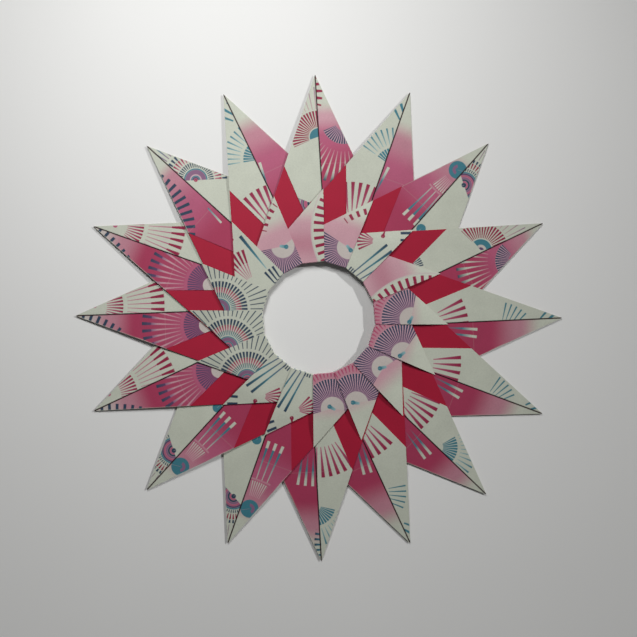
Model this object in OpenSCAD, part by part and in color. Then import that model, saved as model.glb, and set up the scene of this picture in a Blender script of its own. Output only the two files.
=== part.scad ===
// Modular paper star: a ring of identical folded square sheets round an open centre.
// Every sheet lies over its left neighbour and is locked there by that neighbour's inner end,
// which is folded over it from the centre.
// The star lies on its back in the XY plane, front face up, with the first point on +Y.

/* [Ring] */
// Distance from the centre to the tip of every point
tip_r = 131.5; // [115:0.5:150]
// Distance from the centre to the middle of each side of the open centre
hole_r = 30.3; // [26:0.1:34]

/* [Point of a sheet] */
// Half of the angle at the tip
half_angle = 22; // [20:0.1:23]
// How far the middle line of a point leans from the radius
lean = 2.6; // [1:0.1:4]
// Length of the folded edge from the tip to the shoulder
point_edge = 52.2; // [46:0.1:58]
// Width of the open slit between the two halves of a point
slit_w = 0.4; // [0.2:0.05:0.8]
// How far the loose ends of the point are tucked under the next sheet
tuck = 4.5; // [3:0.1:6]

/* [Lock of a sheet] */
// Stretch of the long edge that shows the plain reverse, from the shoulder to the lock
band_edge = 17.9; // [14:0.1:22]
// Length of the long edge that is held under the left neighbour's lock
grip_edge = 31.5; // [29:0.1:34]
// How far the inner edge of a sheet runs on past its fold, under the left neighbour's lock
foot_reach = 22; // [20:0.1:24]
// How far that edge stops short of the lock's corner at its other end
end_setback = 0.6; // [0.4:0.05:1]
// How far each lock reaches under the one to its left
lap = 4; // [3:0.1:6]
// How far a lock stands over the edge of the sheet that it holds
overhang = 0.3; // [0.2:0.05:0.6]
// Angle at which a lock rises from that edge
lock_angle = 8; // [6:0.5:12]
// Stretch at the end of the fold round the centre that is left open
corner_gap = 1.2; // [1:0.1:2]

/* [Paper] */
// Thickness of one layer of paper
paper_t = 0.15; // [0.1:0.01:0.2]
// Least air between neighbouring sheets
clearance = 0.05; // [0.03:0.01:0.1]

/* [Hidden] */
NODES = ["sheet_01", "sheet_02", "sheet_03", "sheet_04", "sheet_05", "sheet_06", "sheet_07", "sheet_08",
         "sheet_09", "sheet_10", "sheet_11", "sheet_12", "sheet_13", "sheet_14", "sheet_15", "sheet_16"];
printed = "#d9b3c0";
plain_reverse = "#b3263f";

// Turn from one sheet to the next
step = 360 / len(NODES);
// A folded edge is one and a half layers high, because its two layers are pressed together
fold_h = 1.5 * paper_t;
// The fold round the centre is as thick as one and a half layers, just inside the sheet's edge
wall_w = 1.5 * paper_t;
fold_inset = 0.2 * paper_t;

// Every sheet is drawn in its own frame: the star's centre is the origin, y runs out to the
// tip and x runs clockwise.
// Unit vector that heads inwards, turned to the right by an angle
function inwards(angle) = [sin(angle), -cos(angle)];
// The same point on the next sheet clockwise, and on the one before
function on_next(p) = [p.x * cos(step) + p.y * sin(step), p.y * cos(step) - p.x * sin(step)];
function on_last(p) = [p.x * cos(step) - p.y * sin(step), p.y * cos(step) + p.x * sin(step)];
// Where the line from p along d crosses the line from q along e
function meet(p, d, q, e) = p + d * cross(q - p, e) / cross(d, e);

left_dir = inwards(lean - half_angle);
slit_dir = inwards(lean);
right_dir = inwards(lean + half_angle);
lock_dir = inwards(0);
// Edge of the lock of the sheet before, as this sheet sees it
last_lock_dir = inwards(step);
// Directions from a folded edge into the flap that it carries
left_side = [-left_dir.y, left_dir.x];
right_side = [right_dir.y, -right_dir.x];

// The point
tip = [0, tip_r];
shoulder = tip + point_edge * left_dir;
right_shoulder = tip + point_edge * right_dir;
band_end = shoulder + band_edge * left_dir;
grip_end = band_end + grip_edge * left_dir;

// The lock: its free corner lies where the next sheet's plain band ends
next_side = on_next(left_side);
next_dir = on_next(left_dir);
lock_top = meet(on_next(band_end), lock_dir, on_next(band_end) - overhang * next_side, next_dir);
corner_r = hole_r / cos(step / 2);
fold_right = [lock_top.x, sqrt(corner_r * corner_r - lock_top.x * lock_top.x)];
fold_left = on_last(fold_right);
fold_dir = (fold_left - fold_right) / norm(fold_left - fold_right);
fold_out = [fold_dir.y, -fold_dir.x];
lap_point = on_last(lock_top) - lap * [cos(step), sin(step)];
lap_top = meet(lap_point, last_lock_dir, lock_top, next_dir);
lap_foot = meet(lap_point, last_lock_dir, fold_right, fold_dir);

// Inner corners of the back layer
grip_foot = fold_left + foot_reach * fold_dir;
inner_end = fold_right + end_setback * fold_dir;

// Corners of the two flaps of the point, which end just under the next sheet's long edge
slit_start = slit_w / 2 / sin(half_angle);
left_start = tip + slit_start * left_dir;
right_start = tip + slit_start * right_dir;
tuck_point = on_next(tip + tuck * left_side);
left_tuck = meet(shoulder, last_lock_dir, tuck_point, next_dir);
left_end = meet(left_start, slit_dir, tuck_point, next_dir);
right_end = meet(right_start, slit_dir, tuck_point, next_dir);

// Heights are planes [a, b, c], with z = a x + b y + c
function height(plane, p) = plane.x * p.x + plane.y * p.y + plane.z;
// A plane that is turned up from another about the edge through p, towards side
function hinged(plane, p, side, slope, lift) =
    plane + [slope * side.x, slope * side.y, lift - slope * side * p];

// The back layers overlap like roof tiles: each one leans so that it clears the sheet below it
lap_arm = hole_r * sin(step);
sheet_tilt = (2 * paper_t + clearance) / lap_arm;
base_z = sheet_tilt * max(on_next(tip).x, on_next(right_shoulder).x);
back_plane = [-sheet_tilt * cos(step), -sheet_tilt * sin(step), base_z];
next_plane = [-sheet_tilt, 0, base_z];

// The point's flaps open as far as the sheet above leaves room for
function flap_slope(p) =
    (height(next_plane, p) - height(back_plane, p) - fold_h - clearance) / ((p - tip) * left_side);
flap_share = 0.7;
point_slope = flap_share * min(flap_slope(left_end), flap_slope(left_tuck));
left_plane = hinged(back_plane, tip, left_side, point_slope, paper_t / 2);
right_plane = hinged(back_plane, tip, right_side, point_slope, paper_t / 2);

// The lock rises from the edge of the sheet that it holds, then lies over the next lock
lock_tilt = (fold_h + clearance) / lap_arm;
rise_plane = hinged(next_plane, on_next(tip), next_side, tan(lock_angle), paper_t + 2 * clearance);
lock_bend = meet(on_next(grip_end), lock_dir, lock_top, next_dir);
cover_plane = [lock_tilt, 0, height(rise_plane, lock_bend) - lock_tilt * lock_bend.x];
// Height along y at which the two planes of the lock cross, for a given x
function crease_y(x) = let(gap = rise_plane - cover_plane) -(gap.x * x + gap.z) / gap.y;
lock_crease = [lock_top.x, crease_y(lock_top.x)];

// A layer of paper between two faces whose corners are listed counter-clockwise.
// Facets list the corners of each flat field in the same sense.
module layer(lower, upper, facets) {
    n = len(lower);
    upper_facets = [for (f = facets) [for (i = [len(f) - 1:-1:0]) f[i] + n]];
    rim = [for (i = [0:n - 1]) [i, i + n, (i + 1) % n + n, (i + 1) % n]];
    polyhedron(concat(lower, upper), concat(facets, upper_facets, rim));
}

function on_plane(plane, points, lift = 0) = [for (p = points) [p.x, p.y, height(plane, p) + lift]];
function whole(points) = [[for (i = [0:len(points) - 1]) i]];

module flat_layer(plane, outline) {
    layer(on_plane(plane, outline), on_plane(plane, outline, paper_t), whole(outline));
}

module back_layer() {
    color(plain_reverse) flat_layer(back_plane, [tip, grip_end, grip_foot, inner_end, right_shoulder]);
}

module left_flap() {
    color(printed) flat_layer(left_plane, [left_start, shoulder, left_tuck, left_end]);
}

module right_flap() {
    color(printed) flat_layer(right_plane, [right_start, right_end, right_shoulder]);
}

// The inner end, folded over to the front: it bends down to its free edge at the upper left
module lock_flap() {
    bent = on_plane(rise_plane, [lock_top, lock_bend]);
    flat = on_plane(cover_plane, [lap_top, lap_foot, fold_right]);
    crease = on_plane(cover_plane, [lock_crease]);
    lower = concat(bent, flat, crease);
    upper = [for (c = lower) c + [0, 0, paper_t]];
    color(printed) layer(lower, upper, [[0, 1, 5], [5, 1, 2, 3, 4]]);
}

// The fold round the centre, which joins the back layer to the lock from mid-paper to mid-paper
module centre_fold() {
    from = fold_right + corner_gap * fold_dir + fold_inset * fold_out;
    to = fold_left + fold_inset * fold_out;
    outline = [from, from + wall_w * fold_out, to + wall_w * fold_out, to];
    lower = on_plane(back_plane, outline, paper_t / 2);
    upper = on_plane(cover_plane, outline, paper_t / 2);
    color(printed) layer(lower, upper, whole(outline));
}

// One square sheet, folded
module sheet(place) {
    rotate([0, 0, -step * place])
        union() {
            back_layer();
            left_flap();
            right_flap();
            lock_flap();
            centre_fold();
        }
}

for (place = [0:len(NODES) - 1])
    sheet(place);
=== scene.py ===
# %% [markdown]
# # A paper star of sixteen folded sheets
#
# The star is a flat ring of square sheets of printed paper. Every sheet is folded to a long split
# point, lies over its left neighbour, and is held there by that neighbour's inner end, which comes
# up through the open centre and folds over it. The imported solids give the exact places, so this
# script repeats their few sizes and redraws each sheet with softer folds and its print.

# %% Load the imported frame
import math

import bpy
import numpy as np
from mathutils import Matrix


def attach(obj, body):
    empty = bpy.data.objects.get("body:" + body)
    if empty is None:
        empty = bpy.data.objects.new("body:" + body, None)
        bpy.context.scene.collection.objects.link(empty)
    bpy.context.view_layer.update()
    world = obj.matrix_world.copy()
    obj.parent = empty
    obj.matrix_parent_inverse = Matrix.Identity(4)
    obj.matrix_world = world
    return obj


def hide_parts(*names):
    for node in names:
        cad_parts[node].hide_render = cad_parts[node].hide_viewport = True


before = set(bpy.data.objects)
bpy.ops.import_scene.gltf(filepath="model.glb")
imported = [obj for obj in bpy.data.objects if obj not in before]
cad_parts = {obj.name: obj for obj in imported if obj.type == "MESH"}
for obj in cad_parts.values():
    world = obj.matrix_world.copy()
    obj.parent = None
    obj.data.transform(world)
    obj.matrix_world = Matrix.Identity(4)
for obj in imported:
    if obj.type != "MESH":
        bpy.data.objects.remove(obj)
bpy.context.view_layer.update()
print("packed nodes:", len(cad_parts))

# %% [markdown]
# ## The folding plan
#
# One sheet is worked out in its own frame: the star's centre is the origin, y runs out to the tip
# and x runs clockwise, all in millimetres. The other fifteen are the same plan turned by a
# sixteenth of a circle at a time, so a single set of corners serves them all.

# %% Sizes of the star
MM_PER_M = 1000
SHEETS = 16
STEP = math.radians(360 / SHEETS)
TIP_R = 131.5
HOLE_R = 30.3
HALF_ANGLE = math.radians(22)
LEAN = math.radians(2.6)
POINT_EDGE = 52.2
SLIT_W = 0.4
TUCK = 4.5
BAND_EDGE = 17.9
GRIP_EDGE = 31.5
FOOT_REACH = 22.0
END_SETBACK = 0.6
LAP = 4.0
OVERHANG = 0.3
LOCK_ANGLE = math.radians(8)
PAPER_T = 0.15
CLEARANCE = 0.05
FOLD_H = 1.5 * PAPER_T


def inwards(angle):
    """Unit vector that heads for the centre, turned to the right by an angle."""
    return np.array([math.sin(angle), -math.cos(angle)])


def turned(points, steps):
    """Points turned clockwise about the centre by a number of steps."""
    c, s = math.cos(steps * STEP), math.sin(steps * STEP)
    return np.asarray(points) @ np.array([[c, -s], [s, c]])


def cross(p, q):
    """Signed area of the parallelogram of two plane vectors."""
    return p[0] * q[1] - p[1] * q[0]


def meet(p, d, q, e):
    """Where the line from p along d crosses the line from q along e."""
    return p + d * cross(q - p, e) / cross(d, e)


print("one step is", round(math.degrees(STEP), 1), "degrees")

# %% Corners of a folded sheet
left_dir, slit_dir, right_dir = inwards(LEAN - HALF_ANGLE), inwards(LEAN), inwards(LEAN + HALF_ANGLE)
lock_dir, last_lock_dir = inwards(0), inwards(STEP)
left_side = np.array([-left_dir[1], left_dir[0]])
right_side = np.array([right_dir[1], -right_dir[0]])
slit_side = np.array([-slit_dir[1], slit_dir[0]])
next_dir, next_side = turned(left_dir, 1), turned(left_side, 1)

tip = np.array([0, TIP_R])
shoulder = tip + POINT_EDGE * left_dir
right_shoulder = tip + POINT_EDGE * right_dir
band_end = shoulder + BAND_EDGE * left_dir
grip_end = band_end + GRIP_EDGE * left_dir
next_band_end = turned(band_end, 1)

lock_top = meet(next_band_end, lock_dir, next_band_end - OVERHANG * next_side, next_dir)
corner_r = HOLE_R / math.cos(STEP / 2)
fold_right = np.array([lock_top[0], math.sqrt(corner_r**2 - lock_top[0] ** 2)])
fold_left = turned(fold_right, -1)
fold_dir = (fold_left - fold_right) / np.linalg.norm(fold_left - fold_right)
fold_out = np.array([fold_dir[1], -fold_dir[0]])
lap_point = turned(lock_top, -1) - LAP * np.array([math.cos(STEP), math.sin(STEP)])
lap_top = meet(lap_point, last_lock_dir, lock_top, next_dir)
lap_foot = meet(lap_point, last_lock_dir, fold_right, fold_dir)
grip_foot = fold_left + FOOT_REACH * fold_dir
inner_end = fold_right + END_SETBACK * fold_dir

slit_start = SLIT_W / 2 / math.sin(HALF_ANGLE)
left_start, right_start = tip + slit_start * left_dir, tip + slit_start * right_dir
tuck_point = turned(tip + TUCK * left_side, 1)
left_tuck = meet(shoulder, last_lock_dir, tuck_point, next_dir)
left_end = meet(left_start, slit_dir, tuck_point, next_dir)
right_end = meet(right_start, slit_dir, tuck_point, next_dir)
print("lock corner", lock_top.round(2), "fold from", fold_left.round(2), "to", fold_right.round(2))

# %% [markdown]
# ## Heights of the layers
#
# Sheets that interlock all the way round can't lie in one plane. The back layers lean like roof
# tiles, each a little over the last. The halves of a point hinge up from their folded edges, and
# the locks lean the other way. Paper bends rather than creases there, so each plane is eased
# into the next with a soft curve.

# %% Planes and soft curves
# Share of the room under the next sheet that the halves of a point take up
FLAP_SHARE = 0.7
# Distance from the folded edge over which a half eases off, and the curve of that rise
FLAP_WIDTH = 21.0
EASE_POWER = 1.2
EASE_LOSS = 1.08
# Height over which the two planes of a lock run into each other
BEND_SOFT = 0.35

lap_arm = HOLE_R * math.sin(STEP)
sheet_tilt = (2 * PAPER_T + CLEARANCE) / lap_arm
base_z = sheet_tilt * max(turned(tip, 1)[0], turned(right_shoulder, 1)[0])
lock_tilt = (FOLD_H + CLEARANCE) / lap_arm


def back_z(p):
    """Height of the back layer: it falls in proportion to the way round from the sheet before."""
    return base_z - sheet_tilt * (p[..., 0] * math.cos(STEP) + p[..., 1] * math.sin(STEP))


def next_z(p):
    """Height of the next sheet's back layer, which falls in proportion to x."""
    return base_z - sheet_tilt * p[..., 0]


def flap_room(p):
    """Slope at which the left half of a point would reach the next sheet at p."""
    return (next_z(p) - back_z(p) - FOLD_H - CLEARANCE) / ((p - tip) @ left_side)


point_slope = FLAP_SHARE * min(flap_room(left_end), flap_room(left_tuck))


def flap_z(p, side):
    """Half of a point: the back layer plus a rise with the distance from the folded edge.

    The rise starts a ninth steeper than the plane and eases off towards the slit.
    """
    d = np.clip((p - tip) @ side / FLAP_WIDTH, 0, 1)
    rise = point_slope * FLAP_WIDTH * (1 - (1 - d) ** EASE_POWER) / EASE_LOSS
    return back_z(p) + PAPER_T / 2 + rise


lock_bend = meet(turned(grip_end, 1), lock_dir, lock_top, next_dir)


def rise_z(p):
    """Outer field of the lock: it climbs from the edge of the next sheet at the lock angle."""
    climb = math.tan(LOCK_ANGLE) * ((p - turned(tip, 1)) @ next_side)
    return next_z(p) + PAPER_T + 2 * CLEARANCE + climb


cover_base = rise_z(lock_bend) - lock_tilt * lock_bend[0]


def lock_z(p):
    """The lower of the lock's two planes, with the corner between them rounded off."""
    rise, cover = rise_z(p), cover_base + lock_tilt * p[..., 0]
    share = np.clip(0.5 - (rise - cover) / (2 * BEND_SOFT), 0, 1)
    return cover + (rise - cover) * share - BEND_SOFT * share * (1 - share)


print("highest lock point", round(float(lock_z(fold_right)) + PAPER_T, 3), "mm")

# %% [markdown]
# ## Sheets as arrays
#
# Every layer is a four-sided field of points between two faces. The field is a blend of its four
# corners, so a whole layer is one array, and the rim that closes it runs round the array's border.
# Every point also keeps its place on the unturned plan, which the print follows, so a print can be
# laid on the sheet before the sheet is turned into its place.

# %% Fields, layers and folds
# Columns and rows of points: flat layers need their corners only, bent ones more
FLAT = 2, 2
FLAP_POINTS = 24, 12
LOCK_POINTS = 24, 24
FOLD_POINTS = 12, 9
# Share of the fold line that is left open at the right, and how far the fold's two faces bulge
FOLD_OPEN = 0.03
OUTER_BULGE = 0.45
INNER_BULGE = 0.3


def field(corners, columns, rows):
    """Points blended from four corners, in proportion to the distance from the opposite edges."""
    a, b, c, d = corners
    s = np.linspace(0, 1, columns)[None, :, None]
    t = np.linspace(0, 1, rows)[:, None, None]
    return (1 - t) * ((1 - s) * a + s * b) + t * ((1 - s) * d + s * c)


def grid_faces(index):
    """Four-cornered faces between neighbouring points of an index grid."""
    return np.stack([index[:-1, :-1], index[:-1, 1:], index[1:, 1:], index[1:, :-1]], -1).reshape(-1, 4)


def border(index):
    """Indices once round the edge of an index grid."""
    return np.concatenate([index[0, :-1], index[:-1, -1], index[-1, :0:-1], index[:0:-1, 0]])


def layer(lower, upper, plan, finishes):
    """Closed layer between two grids of points: both faces and the rim, with a finish for each.

    The grids run counter-clockwise seen from above, so the lower face is reversed.
    """
    rows, columns = lower.shape[:2]
    count = rows * columns
    low = np.arange(count).reshape(rows, columns)
    high = low + count
    ring_low, ring_high = border(low), border(high)
    rim = np.stack([ring_low, np.roll(ring_low, -1), np.roll(ring_high, -1), ring_high], -1)
    faces = [grid_faces(low)[:, ::-1], grid_faces(high), rim]
    finish = np.repeat(finishes, [len(f) for f in faces])
    points = np.concatenate([lower.reshape(-1, 3), upper.reshape(-1, 3)])
    return points, np.concatenate(faces), finish, np.concatenate([plan.reshape(-1, 2)] * 2)


def paper(corners, height, columns, rows, finishes):
    """A layer of paper one thickness high over a field, with its lower face at a given height."""
    plan = field(corners, columns, rows)
    z = height(plan)[..., None]
    lower = np.concatenate([plan, z], -1)
    return layer(lower, lower + [0, 0, PAPER_T], plan, finishes)


def centre_fold(columns, rows, finishes):
    """The fold at the open centre: half a round profile carried along the fold line.

    The profile goes from the back layer's edge, in towards the centre by the bulge, to the lock's edge.
    """
    along = np.linspace(FOLD_OPEN, 1, columns)[None, :, None]
    line = fold_right + along * (fold_left - fold_right)
    turn = np.linspace(-math.pi / 2, math.pi / 2, rows)[:, None]
    low, high = back_z(line), lock_z(line)

    def skin(inset, bulge):
        """One face of the fold, at a distance in from the two outer faces of the paper."""
        middle, half = (low + high + PAPER_T) / 2, (high + PAPER_T - low) / 2 - inset
        plan = line - fold_out * (bulge * np.cos(turn))[..., None]
        return np.concatenate([plan, (middle + half * np.sin(turn))[..., None]], -1)

    outer, inner = skin(0, OUTER_BULGE), skin(PAPER_T, INNER_BULGE)
    plan = line + fold_out * (turn + math.pi / 2)[..., None]
    return layer(inner, outer, plan, finishes)


lock_corners = [lock_top, lap_top, lap_foot, fold_right]
print("shape of one lock's field:", field(lock_corners, *LOCK_POINTS).shape)

# %% [markdown]
# ## Inks and node helpers
#
# The paper is printed with open folding fans, an old pattern of radiating sticks and ringed leaves,
# on a ground that fades from white to magenta. The reverse is plain crimson. All inks are named
# once. A few helpers keep the node trees short: they set or link a socket, add a math or a mixing
# node, and make or place a node group.

# %% Inks
INKS = {
    "white": "c4c8b9",
    "cream": "c3bab4",
    "blush": "c79aa4",
    "pink": "bb8290",
    "rose": "b25a78",
    "magenta": "a63858",
    "crimson": "a71133",
    "red": "8f1a40",
    "violet": "86617f",
    "lilac": "c8a2ae",
    "purple": "5d4467",
    "navy": "2b3f55",
    "teal": "3d7a88",
    "mist": "8fb3b6",
}


def srgb(code):
    """Linear colour from a six-digit hexadecimal code."""
    v = np.array([int(code[i : i + 2], 16) for i in (0, 2, 4)]) / 255
    return (*np.where(v <= 0.04045, v / 12.92, ((v + 0.055) / 1.055) ** 2.4), 1.0)


INK = {name: srgb(code) for name, code in INKS.items()}
print("inks:", len(INK))

# %% Node helpers
# Sockets of a mixing node that works on colours
MIX_SHARE, MIX_FIRST, MIX_SECOND, MIX_RESULT = 0, 6, 7, 2
# How fast a drawn edge goes from 0 to 1, per millimetre
EDGE_GAIN = 3.0


def wire(tree, value, socket):
    """Links a socket to another, or sets it to a constant."""
    if isinstance(value, bpy.types.NodeSocket):
        tree.links.new(value, socket)
    else:
        socket.default_value = value


def calc(tree, operation, *values, clamp=False):
    """One math node on sockets or numbers."""
    node = tree.nodes.new("ShaderNodeMath")
    node.operation, node.use_clamp = operation, clamp
    for socket, value in zip(node.inputs, values):
        wire(tree, value, socket)
    return node.outputs[0]


def mixed(tree, share, first, second):
    """Colour between two colours."""
    node = tree.nodes.new("ShaderNodeMix")
    node.data_type = "RGBA"
    for index, value in ((MIX_SHARE, share), (MIX_FIRST, first), (MIX_SECOND, second)):
        wire(tree, value, node.inputs[index])
    return node.outputs[MIX_RESULT]


def soft_edge(tree, distance):
    """Mask that goes from 0 to 1 over a third of a millimetre where a distance crosses zero."""
    return calc(tree, "MULTIPLY_ADD", distance, EDGE_GAIN, 0.5, clamp=True)


def new_group(name, inputs, outputs):
    """Empty node group with named sockets, and its two end nodes."""
    tree = bpy.data.node_groups.new(name, "ShaderNodeTree")
    for in_out, sockets in (("INPUT", inputs), ("OUTPUT", outputs)):
        for label, kind in sockets.items():
            tree.interface.new_socket(label, in_out=in_out, socket_type="NodeSocket" + kind)
    ends = tree.nodes.new("NodeGroupInput"), tree.nodes.new("NodeGroupOutput")
    return tree, ends[0].outputs, ends[1].inputs


def use_group(tree, group, **values):
    """Places a group in a tree; an underscore in a name stands for a space."""
    node = tree.nodes.new("ShaderNodeGroup")
    node.node_tree = group
    for label, value in values.items():
        wire(tree, value, node.inputs[label.replace("_", " ")])
    return node.outputs


print("a drawn edge is", round(1 / EDGE_GAIN, 2), "mm soft")

# %% [markdown]
# ## Fans as polar drawings
#
# Everything on a fan lies at some distance from its pivot and some angle from its middle line.
# One group turns the plan into those two numbers. The leaf of the fan is then a ring between two
# distances, and its sticks are the same ring cut into equal angles.


# %% Group: place of a fan
def make_fan_place():
    """Distance from the pivot, and angle clockwise from the heading, up to half a turn either way."""
    tree, given, made = new_group(
        "fan_place",
        {"Plan": "Vector", "Pivot": "Vector", "Heading": "Float"},
        {"Radius": "Float", "Angle": "Float"},
    )
    offset = tree.nodes.new("ShaderNodeVectorMath")
    offset.operation = "SUBTRACT"
    wire(tree, given["Plan"], offset.inputs[0])
    wire(tree, given["Pivot"], offset.inputs[1])
    length = tree.nodes.new("ShaderNodeVectorMath")
    length.operation = "LENGTH"
    wire(tree, offset.outputs[0], length.inputs[0])
    split = tree.nodes.new("ShaderNodeSeparateXYZ")
    wire(tree, offset.outputs[0], split.inputs[0])
    bearing = calc(tree, "ARCTAN2", split.outputs[0], split.outputs[1])
    bearing = calc(tree, "SUBTRACT", calc(tree, "DEGREES", bearing), given["Heading"])
    wire(tree, calc(tree, "WRAP", bearing, 180.0, -180.0), made["Angle"])
    wire(tree, length.outputs["Value"], made["Radius"])
    return tree


# %% Group: ring of a fan
SECTOR = {
    "Color": "Color",
    "Radius": "Float",
    "Angle": "Float",
    "From": "Float",
    "To": "Float",
    "Reach": "Float",
}


def ring_mask(tree, given):
    """Inside of a sector: between two radii, and within a reach to both sides of the heading."""
    radius = given["Radius"]
    inside = soft_edge(tree, calc(tree, "SUBTRACT", radius, given["From"]))
    inside = calc(tree, "MULTIPLY", inside, soft_edge(tree, calc(tree, "SUBTRACT", given["To"], radius)))
    spare = calc(tree, "SUBTRACT", given["Reach"], calc(tree, "ABSOLUTE", given["Angle"]))
    spare = calc(tree, "MULTIPLY", calc(tree, "RADIANS", spare), radius)
    return calc(tree, "MULTIPLY", inside, soft_edge(tree, spare))


def make_fan_ring():
    """A sector filled with one ink over the colour that comes in."""
    tree, given, made = new_group("fan_ring", SECTOR | {"Ink": "Color"}, {"Color": "Color"})
    wire(tree, mixed(tree, ring_mask(tree, given), given["Color"], given["Ink"]), made["Color"])
    return tree


# %% Group: sticks of a fan
def make_fan_sticks():
    """A sector cut into sticks at equal angles.

    A stick is the strip nearer to its own middle line than half its width. The width and the ink
    both change in proportion to the way out along the stick.
    """
    more = {"Pitch": "Float", "Phase": "Float", "Width in": "Float", "Width out": "Float"}
    more |= {"Ink in": "Color", "Ink out": "Color"}
    tree, given, made = new_group("fan_sticks", SECTOR | more, {"Color": "Color"})
    way = calc(tree, "SUBTRACT", given["Radius"], given["From"])
    way = calc(tree, "DIVIDE", way, calc(tree, "SUBTRACT", given["To"], given["From"]), clamp=True)
    width = calc(tree, "SUBTRACT", given["Width out"], given["Width in"])
    width = calc(tree, "MULTIPLY_ADD", width, way, given["Width in"])
    half = calc(tree, "DIVIDE", given["Pitch"], 2.0)
    angle = calc(tree, "ADD", given["Angle"], given["Phase"])
    angle = calc(tree, "WRAP", angle, half, calc(tree, "MULTIPLY", half, -1.0))
    aside = calc(tree, "MULTIPLY", calc(tree, "RADIANS", calc(tree, "ABSOLUTE", angle)), given["Radius"])
    on_stick = soft_edge(tree, calc(tree, "MULTIPLY_ADD", width, 0.5, calc(tree, "MULTIPLY", aside, -1.0)))
    mask = calc(tree, "MULTIPLY", on_stick, ring_mask(tree, given))
    ink = mixed(tree, way, given["Ink in"], given["Ink out"])
    wire(tree, mixed(tree, mask, given["Color"], ink), made["Color"])
    return tree


fan_place, fan_ring, fan_sticks = make_fan_place(), make_fan_ring(), make_fan_sticks()
print("fan groups:", fan_place.name, fan_ring.name, fan_sticks.name)

# %% [markdown]
# ## Paper itself
#
# The sheets are a soft, slightly fibrous paper. A shared group mottles every colour on two
# scales, gives the fibres a little height, scores the faint crease across each point, paints shade
# along the line of the slit and makes the folded edges paler, partly as rubbed print and partly as
# a painted highlight.

# %% Group: paper grain
# Noise: its scale and detail, and how far it moves the shade
CLOUD_SCALE, CLOUD_DETAIL = 90.0, 3.0
FIBRE_SCALE, FIBRE_DETAIL = 1400.0, 4.0
CLOUD_SHADE, SHADE_BASE = 0.16, 0.86
FIBRE_SHADE = 0.22
# How fast the crease ends per millimetre, how pale it is and how deep, against the fibres' height
CREASE_GAIN, CREASE_PALE, CREASE_DEPTH = 3.0, 0.12, 0.6
# Painted shade along the slit, in place of the dark gap between the two halves: how fast it ends
# per millimetre, its level at the middle before that is clipped to 1, and how dark it is
SLIT_SHADE_GAIN, SLIT_SHADE_LEVEL, SLIT_SHADE_DARK = 2.8, 1.5, 0.92
# Paler folded edges, partly rubbed print and partly a painted highlight of the lit fold: how fast it ends
# per millimetre, and its level at the edge, from the clouds and by itself
WEAR_AND_HIGHLIGHT_GAIN, WEAR_AND_HIGHLIGHT_CLOUD, WEAR_AND_HIGHLIGHT_BASE = 2.2, 1.6, 0.2


def noise(tree, place, scale, detail):
    """Fractal noise between 0 and 1."""
    node = tree.nodes.new("ShaderNodeTexNoise")
    wire(tree, place, node.inputs["Vector"])
    node.inputs["Scale"].default_value = scale
    node.inputs["Detail"].default_value = detail
    return node.outputs["Fac"]


def line_distance(tree, plan, point, normal):
    """Signed distance from a straight line on the plan."""
    node = tree.nodes.new("ShaderNodeVectorMath")
    node.operation = "DOT_PRODUCT"
    wire(tree, plan, node.inputs[0])
    node.inputs[1].default_value = (*normal, 0)
    return calc(tree, "SUBTRACT", node.outputs["Value"], float(np.dot(point, normal)))


def make_paper_grain():
    """Mottled colour and fibre height, with crease, painted slit shade and paler edges by given shares.

    The crease and the painted slit shade share one amount. The paler edges are rubbed print and a
    painted highlight along the folds. Each line fades with the distance from it.
    """
    tree, given, made = new_group(
        "paper_grain",
        {"Color": "Color", "Plan": "Vector", "Place": "Vector", "Crease": "Float", "Wear": "Float"},
        {"Color": "Color", "Height": "Float"},
    )
    cloudy = noise(tree, given["Place"], CLOUD_SCALE, CLOUD_DETAIL)
    fibre = noise(tree, given["Place"], FIBRE_SCALE, FIBRE_DETAIL)
    shade = calc(tree, "MULTIPLY_ADD", cloudy, CLOUD_SHADE, SHADE_BASE)
    shade = calc(tree, "ADD", shade, calc(tree, "MULTIPLY_ADD", fibre, FIBRE_SHADE, -FIBRE_SHADE / 2))
    crease = calc(tree, "ABSOLUTE", line_distance(tree, given["Plan"], shoulder, -slit_dir))
    crease = calc(tree, "MULTIPLY_ADD", crease, -CREASE_GAIN, 1.0, clamp=True)
    crease = calc(tree, "MULTIPLY", crease, given["Crease"])
    # Painted shade: the colour is darkened along the slit line, in place of the shaded gap between the two
    # halves.
    slit = calc(tree, "ABSOLUTE", line_distance(tree, given["Plan"], tip, slit_side))
    slit = calc(tree, "MULTIPLY_ADD", slit, -SLIT_SHADE_GAIN, SLIT_SHADE_LEVEL, clamp=True)
    slit = calc(tree, "MULTIPLY", slit, given["Crease"])
    shade = calc(tree, "MULTIPLY", shade, calc(tree, "MULTIPLY_ADD", slit, -SLIT_SHADE_DARK, 1.0))
    edges = [line_distance(tree, given["Plan"], tip, side) for side in (left_side, right_side)]
    edge = calc(tree, "ABSOLUTE", calc(tree, "MINIMUM", *edges))
    # Paler folded edges: rubbed print and a painted highlight along the lit fold.
    wear_and_highlight_mask = calc(tree, "MULTIPLY_ADD", cloudy, WEAR_AND_HIGHLIGHT_CLOUD, WEAR_AND_HIGHLIGHT_BASE)
    wear_and_highlight_mask = calc(tree, "MULTIPLY_ADD", edge, -WEAR_AND_HIGHLIGHT_GAIN, wear_and_highlight_mask, clamp=True)
    wear_and_highlight_mask = calc(tree, "MULTIPLY", wear_and_highlight_mask, given["Wear"])
    pale = calc(tree, "MAXIMUM", wear_and_highlight_mask, calc(tree, "MULTIPLY", crease, CREASE_PALE))
    color = mixed(tree, pale, given["Color"], INK["white"])
    dim = tree.nodes.new("ShaderNodeVectorMath")
    dim.operation = "SCALE"
    wire(tree, color, dim.inputs[0])
    wire(tree, shade, dim.inputs["Scale"])
    wire(tree, dim.outputs[0], made["Color"])
    wire(tree, calc(tree, "MULTIPLY_ADD", crease, -CREASE_DEPTH, fibre), made["Height"])
    return tree


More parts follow.
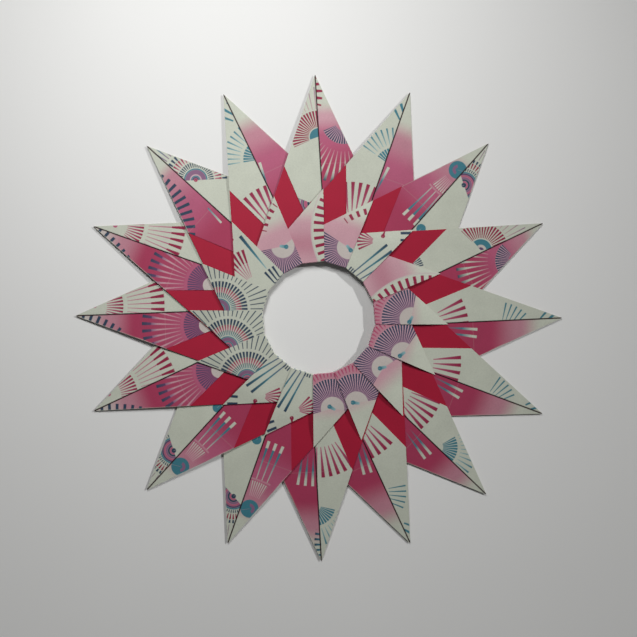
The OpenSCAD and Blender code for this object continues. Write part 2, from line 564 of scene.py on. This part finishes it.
paper_grain = make_paper_grain()
print("paper group:", paper_grain.name)

# %% Finish of printed or plain paper
# Millimetres on the plan to one unit of the map that carries it
PLAN_SCALE = 100.0
BUMP_STRENGTH, BUMP_DEPTH = 0.25, 0.00008
PAPER_ROUGHNESS, PAPER_SHEEN = 0.55, 0.35


def paper_finish(name, draw, crease=0.0, wear_and_highlight=0.0):
    """Paper whose colour is drawn on the plan by a function, then grained, with a matt sheen."""
    made = bpy.data.materials.new(name)
    made.use_nodes = True
    tree = made.node_tree
    shader = tree.nodes["Principled BSDF"]
    place = tree.nodes.new("ShaderNodeTexCoord").outputs["Object"]
    plan_map = tree.nodes.new("ShaderNodeUVMap")
    plan_map.uv_map = "plan"
    grow = tree.nodes.new("ShaderNodeVectorMath")
    grow.operation = "SCALE"
    wire(tree, plan_map.outputs[0], grow.inputs[0])
    grow.inputs["Scale"].default_value = PLAN_SCALE
    plan = grow.outputs[0]
    color = draw(tree, plan)
    grain = use_group(tree, paper_grain, Color=color, Plan=plan, Place=place, Crease=crease, Wear=wear_and_highlight)
    bump = tree.nodes.new("ShaderNodeBump")
    bump.inputs["Strength"].default_value = BUMP_STRENGTH
    bump.inputs["Distance"].default_value = BUMP_DEPTH
    wire(tree, grain["Height"], bump.inputs["Height"])
    wire(tree, grain["Color"], shader.inputs["Base Color"])
    wire(tree, bump.outputs[0], shader.inputs["Normal"])
    shader.inputs["Roughness"].default_value = PAPER_ROUGHNESS
    shader.inputs["Specular IOR Level"].default_value = PAPER_SHEEN
    return made


# The reverse also gets the crease and the painted slit shade.
crimson_paper = paper_finish("crimson_reverse", lambda tree, plan: INK["crimson"], crease=1.0)
print("plain finish:", crimson_paper.name)

# %% [markdown]
# ## The fans of the print
#
# A handful of fan designs come back all over the star. Each is a short list of rings and sticks in
# millimetres from its pivot. A ring has two radii, a reach in degrees to both sides and an ink.
# Sticks have two radii and a reach too, then the pitch in degrees, the width at both ends, the ink
# at both ends and, where no stick lies on the heading, a phase in degrees.


# %% Fan designs
def pale_sticks(reach, phase):
    """Long sticks that go from magenta through teal to white on the way out."""
    pitch = 4.1
    return [
        ("sticks", 38, 48, reach, pitch, 0.4, 1.1, "magenta", "teal", phase),
        ("sticks", 48, 53.5, reach, pitch, 1.1, 1.4, "teal", "white", phase),
        ("sticks", 53.5, 56.5, reach, pitch, 1.4, 1.5, "white", "white", phase),
    ]


FANS = {
    "teal_fan": [
        ("sticks", 3.5, 11.3, 52, 8.5, 0.35, 1.2, "teal", "teal"),
        ("sticks", 13, 22, 52, 8.5, 0.35, 0.95, "mist", "teal"),
    ],
    "teal_side": [("sticks", 12.5, 22, 20, 8, 0.3, 0.85, "teal", "teal")],
    "tip_sticks": [("sticks", 17, 25, 16, 10, 0.8, 1.6, "teal", "teal")],
    "red_sticks": [("sticks", 15.5, 32, 26, 7.6, 0.4, 2.0, "rose", "red")],
    "red_sticks_few": [("sticks", 17, 32, 18, 7.6, 0.4, 2.0, "rose", "red")],
    "pale_sticks_1": pale_sticks(2, 0.0),
    "pale_sticks_2": pale_sticks(4.1, 2.05),
    "pale_sticks_3": pale_sticks(6.1, 0.0),
    "lower_fan": [
        ("ring", 0, 4.2, 180, "cream"),
        ("ring", 4.2, 12.5, 70, "rose"),
        ("sticks", 4.2, 12.5, 70, 6.75, 0.4, 1.0, "purple", "purple"),
        ("ring", 12.5, 14.2, 70, "rose"),
        ("sticks", 14.4, 26, 60, 6.75, 0.3, 0.9, "pink", "blush"),
        ("sticks", 26, 30, 60, 6.75, 0.9, 1.35, "blush", "violet"),
        ("sticks", 30, 35, 60, 6.75, 1.35, 1.8, "purple", "navy"),
    ],
    "red_fan": [
        ("sticks", 9.5, 18.5, 55, 6.1, 0.3, 1.2, "rose", "red"),
        ("sticks", 20.8, 34.5, 55, 5.25, 0.35, 0.65, "pink", "rose"),
        ("sticks", 33.5, 40.8, 55, 5.25, 1.0, 2.0, "red", "red"),
    ],
    "lantern_fan": [
        ("ring", 64, 65, 6, "pink"),
        ("sticks", 65, 77.5, 5.4, 2.69, 0.4, 0.9, "white", "teal", 1.345),
        ("sticks", 77.5, 82.3, 5.4, 2.69, 1.0, 1.3, "teal", "teal", 1.345),
        ("sticks", 82.3, 86.3, 5.4, 2.69, 1.5, 1.6, "white", "white", 1.345),
    ],
    "lantern_leaf": [("sticks", 17.2, 25.6, 11, 2.9, 0.3, 0.65, "blush", "white")],
    "ring_fan": [
        ("ring", 0, 1.3, 180, "navy"),
        ("ring", 1.3, 2.2, 90, "rose"),
        ("ring", 2.2, 3.2, 90, "navy"),
        ("ring", 3.2, 4.4, 90, "violet"),
        ("ring", 4.4, 5.4, 90, "rose"),
        ("ring", 5.4, 6.4, 90, "purple"),
        ("ring", 6.4, 7.2, 90, "teal"),
        ("sticks", 7.4, 9, 90, 8, 0.4, 0.7, "navy", "navy"),
        ("sticks", 9.5, 12.5, 90, 8, 0.4, 1.0, "red", "red"),
        ("sticks", 12.8, 14.6, 90, 8, 0.8, 1.1, "navy", "navy"),
        ("sticks", 15.5, 22, 60, 8, 0.25, 0.4, "violet", "violet"),
    ],
    "sunset_fan": [
        ("ring", 0, 1.0, 180, "magenta"),
        ("ring", 1.0, 1.9, 90, "purple"),
        ("ring", 1.9, 2.6, 90, "teal"),
        ("ring", 2.6, 3.2, 90, "lilac"),
        ("ring", 3.2, 5.7, 90, "violet"),
        ("ring", 5.7, 6.4, 90, "teal"),
        ("sticks", 6.9, 9.8, 90, 8, 0.4, 0.8, "navy", "navy"),
        ("sticks", 10.3, 14, 90, 8, 0.4, 1.1, "rose", "red"),
        ("sticks", 14.3, 17, 90, 8, 0.8, 1.3, "navy", "navy"),
        ("sticks", 18.5, 27, 60, 5.4, 0.5, 0.7, "violet", "teal"),
    ],
    "sunrise_fan": [
        ("ring", 0, 4.7, 60, "teal"),
        ("sticks", 5.2, 14.2, 65, 7.3, 0.35, 1.15, "red", "red"),
        ("sticks", 15, 27, 65, 7.3, 0.25, 0.5, "pink", "violet"),
    ],
    "sunrise_ring": [
        ("ring", 0, 6, 60, "teal"),
        ("ring", 0, 3, 60, "cream"),
        ("ring", 0, 1.6, 60, "purple"),
        ("sticks", 6.6, 14.8, 65, 7.3, 0.35, 1.15, "red", "red"),
        ("sticks", 15.6, 27, 65, 7.3, 0.25, 0.5, "pink", "violet"),
    ],
    "core_fan": [
        ("ring", 0, 1.2, 180, "magenta"),
        ("ring", 1.2, 2.6, 31, "navy"),
        ("ring", 2.6, 4.4, 31, "rose"),
        ("ring", 4.4, 5, 31, "navy"),
        ("ring", 5, 6.2, 31, "violet"),
        ("sticks", 6.4, 10.6, 31, 7, 0.3, 0.85, "navy", "navy"),
    ],
    "dusk_fan": [
        ("ring", 4.7, 11.9, 62, "lilac"),
        ("sticks", 4.7, 11.9, 62, 6.8, 0.35, 0.95, "purple", "navy"),
        ("sticks", 16, 27.5, 55, 6.8, 0.25, 1.0, "pink", "white"),
        ("sticks", 27.5, 33.4, 55, 6.8, 1.1, 1.7, "white", "navy"),
    ],
    "eye_fan": [
        ("ring", 6.2, 16, 103, "lilac"),
        ("sticks", 6.2, 16, 103, 6, 0.4, 1.05, "purple", "navy"),
        ("ring", 16, 21, 103, "pink"),
        ("sticks", 17, 20.5, 103, 6, 0.6, 0.9, "rose", "magenta"),
        ("ring", 0, 6.3, 103, "cream"),
    ],
    "eye_drop": [
        ("sticks", 0, 3.6, 45, 90, 2.2, 1.3, "teal", "mist"),
        ("ring", 0, 1.2, 180, "teal"),
    ],
    "great_fan": [
        ("ring", 0, 0.9, 180, "magenta"),
        ("ring", 0.9, 1.6, 115, "purple"),
        ("ring", 1.6, 2.4, 115, "rose"),
        ("ring", 2.4, 3.1, 115, "teal"),
        ("ring", 3.1, 5.1, 115, "violet"),
        ("ring", 5.1, 5.7, 115, "teal"),
        ("sticks", 6.2, 9, 115, 7.5, 0.35, 0.6, "teal", "navy"),
        ("sticks", 9, 11.9, 115, 7.5, 0.6, 0.9, "rose", "red"),
        ("sticks", 11.9, 15.1, 115, 7.5, 0.9, 1.2, "navy", "navy"),
        ("sticks", 16.6, 27, 115, 7.5, 0.45, 0.65, "navy", "navy"),
    ],
    "long_sticks_1": [
        ("sticks", 39, 48, 2.3, 4.6, 0.5, 1.1, "mist", "teal"),
        ("sticks", 48, 61.5, 2.3, 4.6, 1.1, 1.8, "teal", "navy"),
    ],
    "long_sticks_3": [
        ("sticks", 30, 46, 6.3, 4.2, 0.4, 0.9, "purple", "teal"),
        ("sticks", 46, 58.5, 6.3, 4.2, 0.9, 1.5, "teal", "navy"),
    ],
    "hole_ticks": [("sticks", 29, 32, 4, 2.5, 0.6, 0.8, "navy", "navy")],
    "hole_sticks": [("sticks", 29, 37, 6, 4, 0.6, 1.3, "navy", "navy")],
    "small_fan": [("sticks", 2, 10.4, 36, 12, 0.35, 1.15, "rose", "red", 6)],
    "small_fan_tall": [
        ("sticks", 5, 13, 21, 8, 0.25, 0.7, "pink", "rose"),
        ("sticks", 13, 20.5, 21, 8, 0.9, 1.6, "red", "red"),
    ],
    "apex_bars": [("sticks", 40, 45.6, 5.3, 5.3, 1.4, 1.5, "navy", "navy", 2.65)],
    "bar_arc_navy": [("sticks", 57, 66.3, 12, 3.7, 1.5, 1.6, "navy", "navy")],
    "bar_arc_long": [("sticks", 27.5, 35, 34.5, 7, 1.5, 1.7, "navy", "navy", 3.5)],
    "bar_arc_red": [
        ("ring", 30, 41.6, 50, "cream"),
        ("ring", 30, 40.8, 50, "white"),
        ("sticks", 34.5, 40.1, 50, 6.2, 1.7, 1.7, "red", "red"),
    ],
    "bar_arc_edge": [("sticks", 28.3, 31.7, 15, 7.7, 1.5, 1.7, "red", "red")],
    "bar_arc_slit": [("sticks", 36, 39.5, 12, 5.8, 1.7, 1.2, "red", "red")],
    "bar_arc_teal": [("sticks", 36.5, 40, 12, 4.3, 1.0, 1.3, "teal", "navy")],
    "teal_disc": [("ring", 0, 4.9, 180, "teal"), ("ring", 1.2, 2.8, 75, "violet")],
    "teal_spot": [("ring", 0, 2.6, 180, "teal")],
    "spot": [("ring", 0, 1.3, 180, "rose")],
    "hook": [("ring", 0, 1.1, 180, "red"), ("sticks", 0, 2.8, 45, 90, 1.8, 0.6, "red", "red")],
    "pale_stick_low": [("sticks", 46.6, 57.4, 2, 4, 1.1, 0.7, "white", "teal")],
}
print("fan designs:", len(FANS))


# %% Draw fans over a ground
def add_fan(tree, plan, color, fan, x, y, heading):
    """Draws one fan's rings and sticks in order over a colour."""
    polar = use_group(tree, fan_place, Plan=plan, Pivot=(x, y, 0), Heading=float(heading))
    for kind, *values in FANS[fan]:
        sector = dict(zip(("From", "To", "Reach"), map(float, values[:3])))
        sector |= {"Color": color, "Radius": polar["Radius"], "Angle": polar["Angle"]}
        if kind == "ring":
            color = use_group(tree, fan_ring, Ink=INK[values[3]], **sector)["Color"]
            continue
        pitch, width_in, width_out, ink_in, ink_out, *phase = values[3:]
        color = use_group(
            tree, fan_sticks, Pitch=pitch, Phase=phase[0] if phase else 0.0, Width_in=width_in,
            Width_out=width_out, Ink_in=INK[ink_in], Ink_out=INK[ink_out], **sector,
        )["Color"]
    return color


# %% Grounds of the print
# Distance from the star's centre at which every ramp ends, past the tips
RAMP_REACH = 140.0
# Stops of each ground: the distance along the sheet from the star's centre, and the ink there
GROUNDS = {
    "white": [(131, "white")],
    "fade": [(121, "white"), (108, "pink"), (92, "magenta"), (50, "magenta")],
    "fade_early": [(125, "white"), (113, "pink"), (98, "magenta"), (50, "magenta")],
    "fade_low": [(117, "white"), (105, "pink"), (90, "rose"), (60, "magenta")],
    "dusk": [(126, "cream"), (113, "pink"), (99, "magenta"), (60, "rose")],
    "lantern": [(118, "white"), (108, "pink"), (92, "rose"), (72, "magenta")],
    "evening": [(117, "white"), (109, "blush"), (98, "rose"), (80, "magenta")],
    "evening_early": [(127, "white"), (117, "pink"), (104, "rose"), (85, "magenta")],
    "ticked": [(119, "white"), (110, "pink"), (92, "rose"), (70, "magenta")],
    "blush": [(61, "white"), (50, "blush"), (40, "blush"), (30, "pink")],
    "blush_low": [(57, "white"), (45, "blush"), (38, "blush"), (30, "pink")],
    "rosy": [(62, "white"), (50, "blush"), (40, "pink"), (30, "blush")],
}


def ground(tree, plan, stops):
    """Colour that fades with the distance from the centre along the sheet, between given stops."""
    if len(stops) == 1:
        return INK[stops[0][1]]
    split = tree.nodes.new("ShaderNodeSeparateXYZ")
    wire(tree, plan, split.inputs[0])
    ramp = tree.nodes.new("ShaderNodeValToRGB")
    wire(tree, calc(tree, "DIVIDE", split.outputs[1], RAMP_REACH), ramp.inputs[0])
    ramp.color_ramp.interpolation = "EASE"
    marks = ramp.color_ramp.elements
    while len(marks) < len(stops):
        marks.new(0.5)
    for mark, (y, ink) in zip(marks, sorted(stops)):
        mark.position, mark.color = y / RAMP_REACH, INK[ink]
    return ramp.outputs[0]


def print_finish(name, layout, crease=0.0, wear_and_highlight=0.0, slip=(0, 0)):
    """Printed paper: a ground and a list of fans on it, all of them slipped by some millimetres."""
    ground_name, fans = layout

    def draw(tree, plan):
        """The ground, then each fan over it."""
        color = ground(tree, plan, GROUNDS[ground_name])
        for fan, x, y, heading in fans:
            color = add_fan(tree, plan, color, fan, x + slip[0], y + slip[1], heading)
        return color

    return paper_finish(name, draw, crease, wear_and_highlight)


print("grounds:", len(GROUNDS))

# %% [markdown]
# ## What each sheet shows
#
# The same fans turn up in ten arrangements, as if the squares were cut from one printed roll. An
# arrangement has a ground for the left half of a point, one for the right half and one for the
# lock, each with the fans that fall on it: a fan's name, its pivot and its heading. Sheets that
# share an arrangement differ by slips of a few millimetres.


# %% Arrangements of the print
def eye_pair(x, y):
    """A fan with a pale round middle, and the drop that lies on that middle."""
    return [("eye_fan", x, y, 178), ("eye_drop", x + 1.6, y - 1.0, -60)]


ARRANGEMENTS = {
    "surf": [
        ("white", [
            ("teal_side", 13.3, 96.6, -62), ("tip_sticks", 12.9, 108.3, -38),
            ("red_sticks_few", 5.0, 49.0, -12),
        ]),
        ("fade", [("pale_sticks_2", 2.8, 29.3, 5.5)]),
        ("blush_low", eye_pair(0.6, 49.8)),
    ],
    "spray": [
        ("white", [("teal_fan", 1.9, 94.5, -25), ("red_sticks", -1.4, 49.8, -12)]),
        ("fade_early", [("pale_sticks_2", 3.3, 38.7, 5.5)]),
        ("blush_low", eye_pair(-6.8, 43.4)),
    ],
    "crest": [
        ("white", [("teal_fan", 3.4, 101.1, -25), ("red_sticks", 0.9, 54.3, -12)]),
        ("fade_early", [("pale_sticks_3", 2.4, 34.4, 6), ("bar_arc_teal", -36.3, 122.5, 90)]),
        ("blush_low", eye_pair(-6.9, 48.9)),
    ],
    "tide": [
        ("white", [
            ("teal_fan", 6.6, 90.6, -25), ("tip_sticks", 11.9, 104.6, -38), ("red_sticks", -0.8, 45.2, -12),
        ]),
        ("fade_low", [("pale_sticks_1", -1.8, 33.5, 5.4)]),
        ("blush", [("bar_arc_edge", 16.4, 38.7, -43), *eye_pair(-2.7, 43.1)]),
    ],
    "ebb": [
        ("white", [
            ("teal_fan", 7.8, 90.3, -25), ("tip_sticks", 13.1, 104.3, -38), ("red_sticks", 0.4, 44.9, -12),
        ]),
        ("fade_low", [("pale_sticks_1", -0.8, 33.3, 5.4)]),
        ("blush", [("bar_arc_edge", 19.2, 37.9, -43), *eye_pair(0.7, 41.2)]),
    ],
    "lantern": [
        ("lantern", [
            ("lantern_fan", -3.1, 157.9, 178), ("lantern_leaf", -1.8, 120.0, 180),
            ("teal_disc", -1.9, 109.6, -120),
        ]),
        ("white", [("ring_fan", 6.2, 106.1, 27), ("teal_spot", 6.0, 73.0, 0)]),
        ("white", [
            ("long_sticks_3", -7.8, -4.2, 10.8), ("hole_ticks", -5.1, 0.1, 0),
            ("small_fan", -6.5, 51.1, -127), ("hook", -5.9, 55.7, -25), ("apex_bars", -28.5, 35.2, 47.65),
        ]),
    ],
    "night": [
        ("dusk", [("bar_arc_navy", -62.2, 144.3, 113), ("lower_fan", -5.5, 60.6, 1)]),
        ("white", [("red_fan", 5.1, 123.6, 176.7), ("spot", 5.5, 120.7, 0)]),
        ("white", [("great_fan", -15.9, 48.4, 75)]),
    ],
    "dawn": [
        ("white", [("sunrise_fan", 1.3, 97.8, -48), ("core_fan", -2.7, 61.8, -98)]),
        ("evening", [("dusk_fan", 15.1, 105.7, 185.5), ("bar_arc_slit", -35.6, 122.6, 90)]),
        ("rosy", [("bar_arc_red", 38.0, 47.2, -90)]),
    ],
    "noon": [
        ("white", [("sunrise_ring", 0.4, 94.8, -48), ("core_fan", -5.9, 52.6, -20)]),
        ("evening_early", [("dusk_fan", 13.1, 110.9, 187.4)]),
        ("rosy", [("bar_arc_red", 38.6, 47.4, -90)]),
    ],
    "market": [
        ("ticked", [("bar_arc_long", -38.7, 105.0, 106.4), ("pale_stick_low", -3.2, 27.0, 2.8)]),
        ("white", [("sunset_fan", 5.6, 99.6, 42)]),
        ("white", [
            ("small_fan_tall", -12.2, 36.6, 10), ("hook", -3.5, 63.0, -25),
            ("long_sticks_1", -5.1, 0.0, 5.8), ("hole_sticks", -5.1, 1.0, 7),
        ]),
    ],
}

# %% Arrangement of every sheet
NO_SLIPS = [(0, 0)] * 3
# The slips, where there are any, are those of the left half, the right half and the lock
PRINTS = {
    1: ("dawn",),
    2: ("ebb",),
    3: ("lantern",),
    4: ("noon",),
    5: ("surf",),
    6: ("surf", (-1.0, 1.5), (-0.3, 1.4), (-0.6, -0.6)),
    7: ("spray",),
    8: ("surf", (-1.2, 0.3), (-1.1, 2.3), (-2.1, 0.4)),
    9: ("crest",),
    10: ("lantern", (-2.0, 0), (0.4, 0.5), (-0.8, -0.2)),
    11: ("lantern", (-2.0, 0.1), (-1.5, 0), (-1.5, 0.2)),
    12: ("night",),
    13: ("night", (1.0, -0.1), (0.1, 0.5), (-0.1, 0.5)),
    14: ("night", (-0.2, 0.2), (-0.5, 0), (0.2, 2.9)),
    15: ("market",),
    16: ("tide",),
}
# The back of every sheet, which lies on the floor, has one print
BACK_PRINT = (
    "white",
    [
        ("great_fan", -4, 86, 0),
        ("red_sticks", 12, 40, -5),
        ("eye_fan", -18, 48, 150),
        ("teal_side", 0, 102, 0),
    ],
)
print("arrangements:", len(ARRANGEMENTS), "for", len(PRINTS), "sheets")

# %% [markdown]
# ## Sixteen sheets
#
# Each sheet is one piece: back layer, two halves of the point, lock and centre fold, joined into a
# single mesh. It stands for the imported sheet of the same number.

# %% Fold a sheet
# Finish numbers of a sheet's faces
LEFT, RIGHT, LOCK, REVERSE, BACK = range(5)


def folded_sheet():
    """Points, faces, finishes and plan of one sheet in its own frame.

    Each layer has three finishes: those of its lower face, its upper face and its rim.
    """
    back = [BACK, REVERSE, REVERSE]
    left, right, lock = ([REVERSE, side, side] for side in (LEFT, RIGHT, LOCK))
    inner_middle = (inner_end + right_shoulder) / 2
    right_middle = (right_shoulder + right_end) / 2
    left_corners = [left_start, shoulder, left_tuck, left_end]
    right_corners = [right_start, right_end, right_middle, right_shoulder]
    parts = [
        paper([tip, grip_end, grip_foot, inner_end], back_z, *FLAT, back),
        paper([tip, inner_end, inner_middle, right_shoulder], back_z, *FLAT, back),
        paper(left_corners, lambda p: flap_z(p, left_side), *FLAP_POINTS, left),
        paper(right_corners, lambda p: flap_z(p, right_side), *FLAP_POINTS, right),
        paper(lock_corners, lock_z, *LOCK_POINTS, lock),
        centre_fold(*FOLD_POINTS, lock),
    ]
    starts = np.cumsum([0] + [len(part[0]) for part in parts[:-1]])
    points = np.concatenate([part[0] for part in parts])
    faces = np.concatenate([part[1] + start for part, start in zip(parts, starts)])
    finish = np.concatenate([part[2] for part in parts])
    plan = np.concatenate([part[3] for part in parts])
    return points, faces, finish, plan


points, faces, finish, plan = folded_sheet()
print("one sheet:", len(points), "points,", len(faces), "faces")

# %% Set the sheets round the ring
# Swing of a sheet clockwise from its exact place, in degrees; a sheet that isn't listed has none
SWING = {
    1: -0.9, 2: -0.5, 3: -0.8, 4: -0.4, 6: 0.7, 7: 1.5,
    8: 0.4, 9: -0.6, 10: -0.5, 13: 0.5, 14: -0.4, 16: -0.6,
}
# Faces that meet at more than this angle have a sharp edge between them
SHARP_ANGLE = math.radians(35)
# Share of the paler folded edges, rubbed print and painted highlight, on the front and on the back
POINT_WEAR_AND_HIGHLIGHT = 0.6
BACK_WEAR_AND_HIGHLIGHT = 0.5


def set_sheet(number, finishes):
    """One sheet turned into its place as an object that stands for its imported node.

    Hands don't fold to the degree, so most sheets are swung a little from their exact places.
    """
    steps = number - 1 + math.radians(SWING.get(number, 0.0)) / STEP
    placed = np.concatenate([turned(points[:, :2], steps), points[:, 2:]], -1) / MM_PER_M
    mesh = bpy.data.meshes.new(f"paper_{number:02d}")
    mesh.from_pydata(placed.tolist(), [], faces.tolist())
    mesh.polygons.foreach_set("material_index", finish.astype(np.int32))
    corners = np.empty(len(mesh.loops), np.int32)
    mesh.loops.foreach_get("vertex_index", corners)
    print_map = mesh.uv_layers.new(name="plan")
    print_map.uv.foreach_set("vector", (plan[corners] / PLAN_SCALE).astype(np.float32).ravel())
    for made in finishes:
        mesh.materials.append(made)
    mesh.shade_smooth()
    mesh.set_sharp_from_angle(angle=SHARP_ANGLE)
    sheet = bpy.data.objects.new(f"paper_{number:02d}", mesh)
    bpy.context.scene.collection.objects.link(sheet)
    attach(sheet, "root")
    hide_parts(f"sheet_{number:02d}")
    return sheet


back_paper = print_finish("back_print", BACK_PRINT, wear_and_highlight=BACK_WEAR_AND_HIGHLIGHT)


def sheet_finishes(number):
    """The five finishes of a sheet, in the order of its faces' finish numbers.

    The two halves of a point have the crease, the painted slit shade and the paler edges of rubbed print
    and painted highlight; the lock has none.
    """
    arrangement, *slips = PRINTS[number]
    sides = zip(("left", "right", "lock"), ARRANGEMENTS[arrangement], (1.0, 1.0, 0.0), slips or NO_SLIPS)
    prints = [
        print_finish(f"{side}_{number:02d}", layout, crease, crease * POINT_WEAR_AND_HIGHLIGHT, slip)
        for side, layout, crease, slip in sides
    ]
    return [*prints, crimson_paper, back_paper]


sheets = [set_sheet(number, sheet_finishes(number)) for number in range(1, SHEETS + 1)]
print("sheets set:", len(sheets))

# %% [markdown]
# ## Floor, light and camera
#
# The star lies on a pale floor and is seen straight from above. A low sun at the right shows the
# steps between the sheets. A near, soft lamp beyond the top makes the upper part brighter, and a
# weak even surround fills the shadows. The camera sees that surround as a pale backdrop.

# %% Floor
# Distance from the middle to the floor's sides, and its height just under the star, in metres
FLOOR_REACH, FLOOR_Z = 12.0, -0.0005
FLOOR_TONES = "e0e0de", "e5e5e3"
FLOOR_CLOUDS, FLOOR_DETAIL = 6.0, 2.0
FLOOR_ROUGHNESS = 0.9


def floor_finish():
    """Matt pale floor with a faint cloudy tone."""
    made = bpy.data.materials.new("pale_floor")
    made.use_nodes = True
    tree = made.node_tree
    shader = tree.nodes["Principled BSDF"]
    place = tree.nodes.new("ShaderNodeTexCoord").outputs["Object"]
    clouds = noise(tree, place, FLOOR_CLOUDS, FLOOR_DETAIL)
    wire(tree, mixed(tree, clouds, *map(srgb, FLOOR_TONES)), shader.inputs["Base Color"])
    shader.inputs["Roughness"].default_value = FLOOR_ROUGHNESS
    return made


floor_mesh = bpy.data.meshes.new("floor")
corner_signs = ((-1, -1), (1, -1), (1, 1), (-1, 1))
floor_corners = [(x * FLOOR_REACH, y * FLOOR_REACH, FLOOR_Z) for x, y in corner_signs]
floor_mesh.from_pydata(floor_corners, [], [(0, 1, 2, 3)])
floor_mesh.materials.append(floor_finish())
floor = bpy.data.objects.new("floor", floor_mesh)
bpy.context.scene.collection.objects.link(floor)
print("floor", 2 * FLOOR_REACH, "m wide")

# %% Lamps and surround
# Angles are in degrees, places and sizes in metres
SUN_BEARING, SUN_HEIGHT = 22, 26
SUN_SOFTNESS, SUN_STRENGTH = 2.0, 1.95
LAMP_PLACE, LAMP_TARGET = (-0.08, 0.38, 0.34), (-0.04, 0.09, 0)
LAMP_SIZE, LAMP_SPREAD, LAMP_POWER = 0.18, 84, 0.42
# Strength of the surround, as light and as the camera sees it
AMBIENT, BACKDROP = 0.07, 0.29


def soft_sun(bearing, height, softness, strength):
    """Distant lamp at a bearing from +X and a height above the floor, all three angles in degrees."""
    data = bpy.data.lights.new("sun", "SUN")
    data.angle, data.energy = math.radians(softness), strength
    lamp = bpy.data.objects.new("sun", data)
    bpy.context.scene.collection.objects.link(lamp)
    lamp.rotation_euler = (0, math.radians(90 - height), math.radians(bearing))


def soft_lamp(place, target, size, spread, power):
    """Square area lamp that points at a target on the floor and isn't itself seen."""
    data = bpy.data.lights.new("soft", "AREA")
    data.size, data.spread, data.energy = size, math.radians(spread), power
    lamp = bpy.data.objects.new("soft", data)
    bpy.context.scene.collection.objects.link(lamp)
    x, y, z = np.subtract(place, target)
    lamp.location = place
    lamp.rotation_euler = (math.atan2(math.hypot(x, y), z), 0, math.atan2(x, -y))
    lamp.visible_camera = False


soft_sun(SUN_BEARING, SUN_HEIGHT, SUN_SOFTNESS, SUN_STRENGTH)
soft_lamp(LAMP_PLACE, LAMP_TARGET, LAMP_SIZE, LAMP_SPREAD, LAMP_POWER)
world = bpy.data.worlds.new("studio")
world.use_nodes = True
air = world.node_tree
surround = air.nodes["Background"]
seen = air.nodes.new("ShaderNodeLightPath").outputs["Is Camera Ray"]
surround.inputs["Color"].default_value = (1, 1, 1, 1)
strength = calc(air, "MULTIPLY_ADD", seen, BACKDROP - AMBIENT, AMBIENT)
wire(air, strength, surround.inputs["Strength"])
bpy.context.scene.world = world
bpy.context.scene.view_settings.view_transform = "Standard"
print("lamps:", len(bpy.data.lights))

# %% Camera
# Size of a pixel on the star, and the picture's width in pixels
MM_PER_PX = 0.5396
PICTURE = 637
# Offset of the camera from the star's middle in pixels, and about half the star's height in metres
OFFSET_PX = -0.3, -0.6
STAR_MIDDLE = 0.0015
LENS, SENSOR = 85, 36
lens_data = bpy.data.cameras.new("camera")
lens_data.lens, lens_data.sensor_width = LENS, SENSOR
width = PICTURE * MM_PER_PX / MM_PER_M
camera = bpy.data.objects.new("camera", lens_data)
bpy.context.scene.collection.objects.link(camera)
aside = [pixels * MM_PER_PX / MM_PER_M for pixels in OFFSET_PX]
camera.location = (*aside, STAR_MIDDLE + width * LENS / SENSOR)
bpy.context.scene.camera = camera
print("camera height", round(camera.location.z, 3), "m")
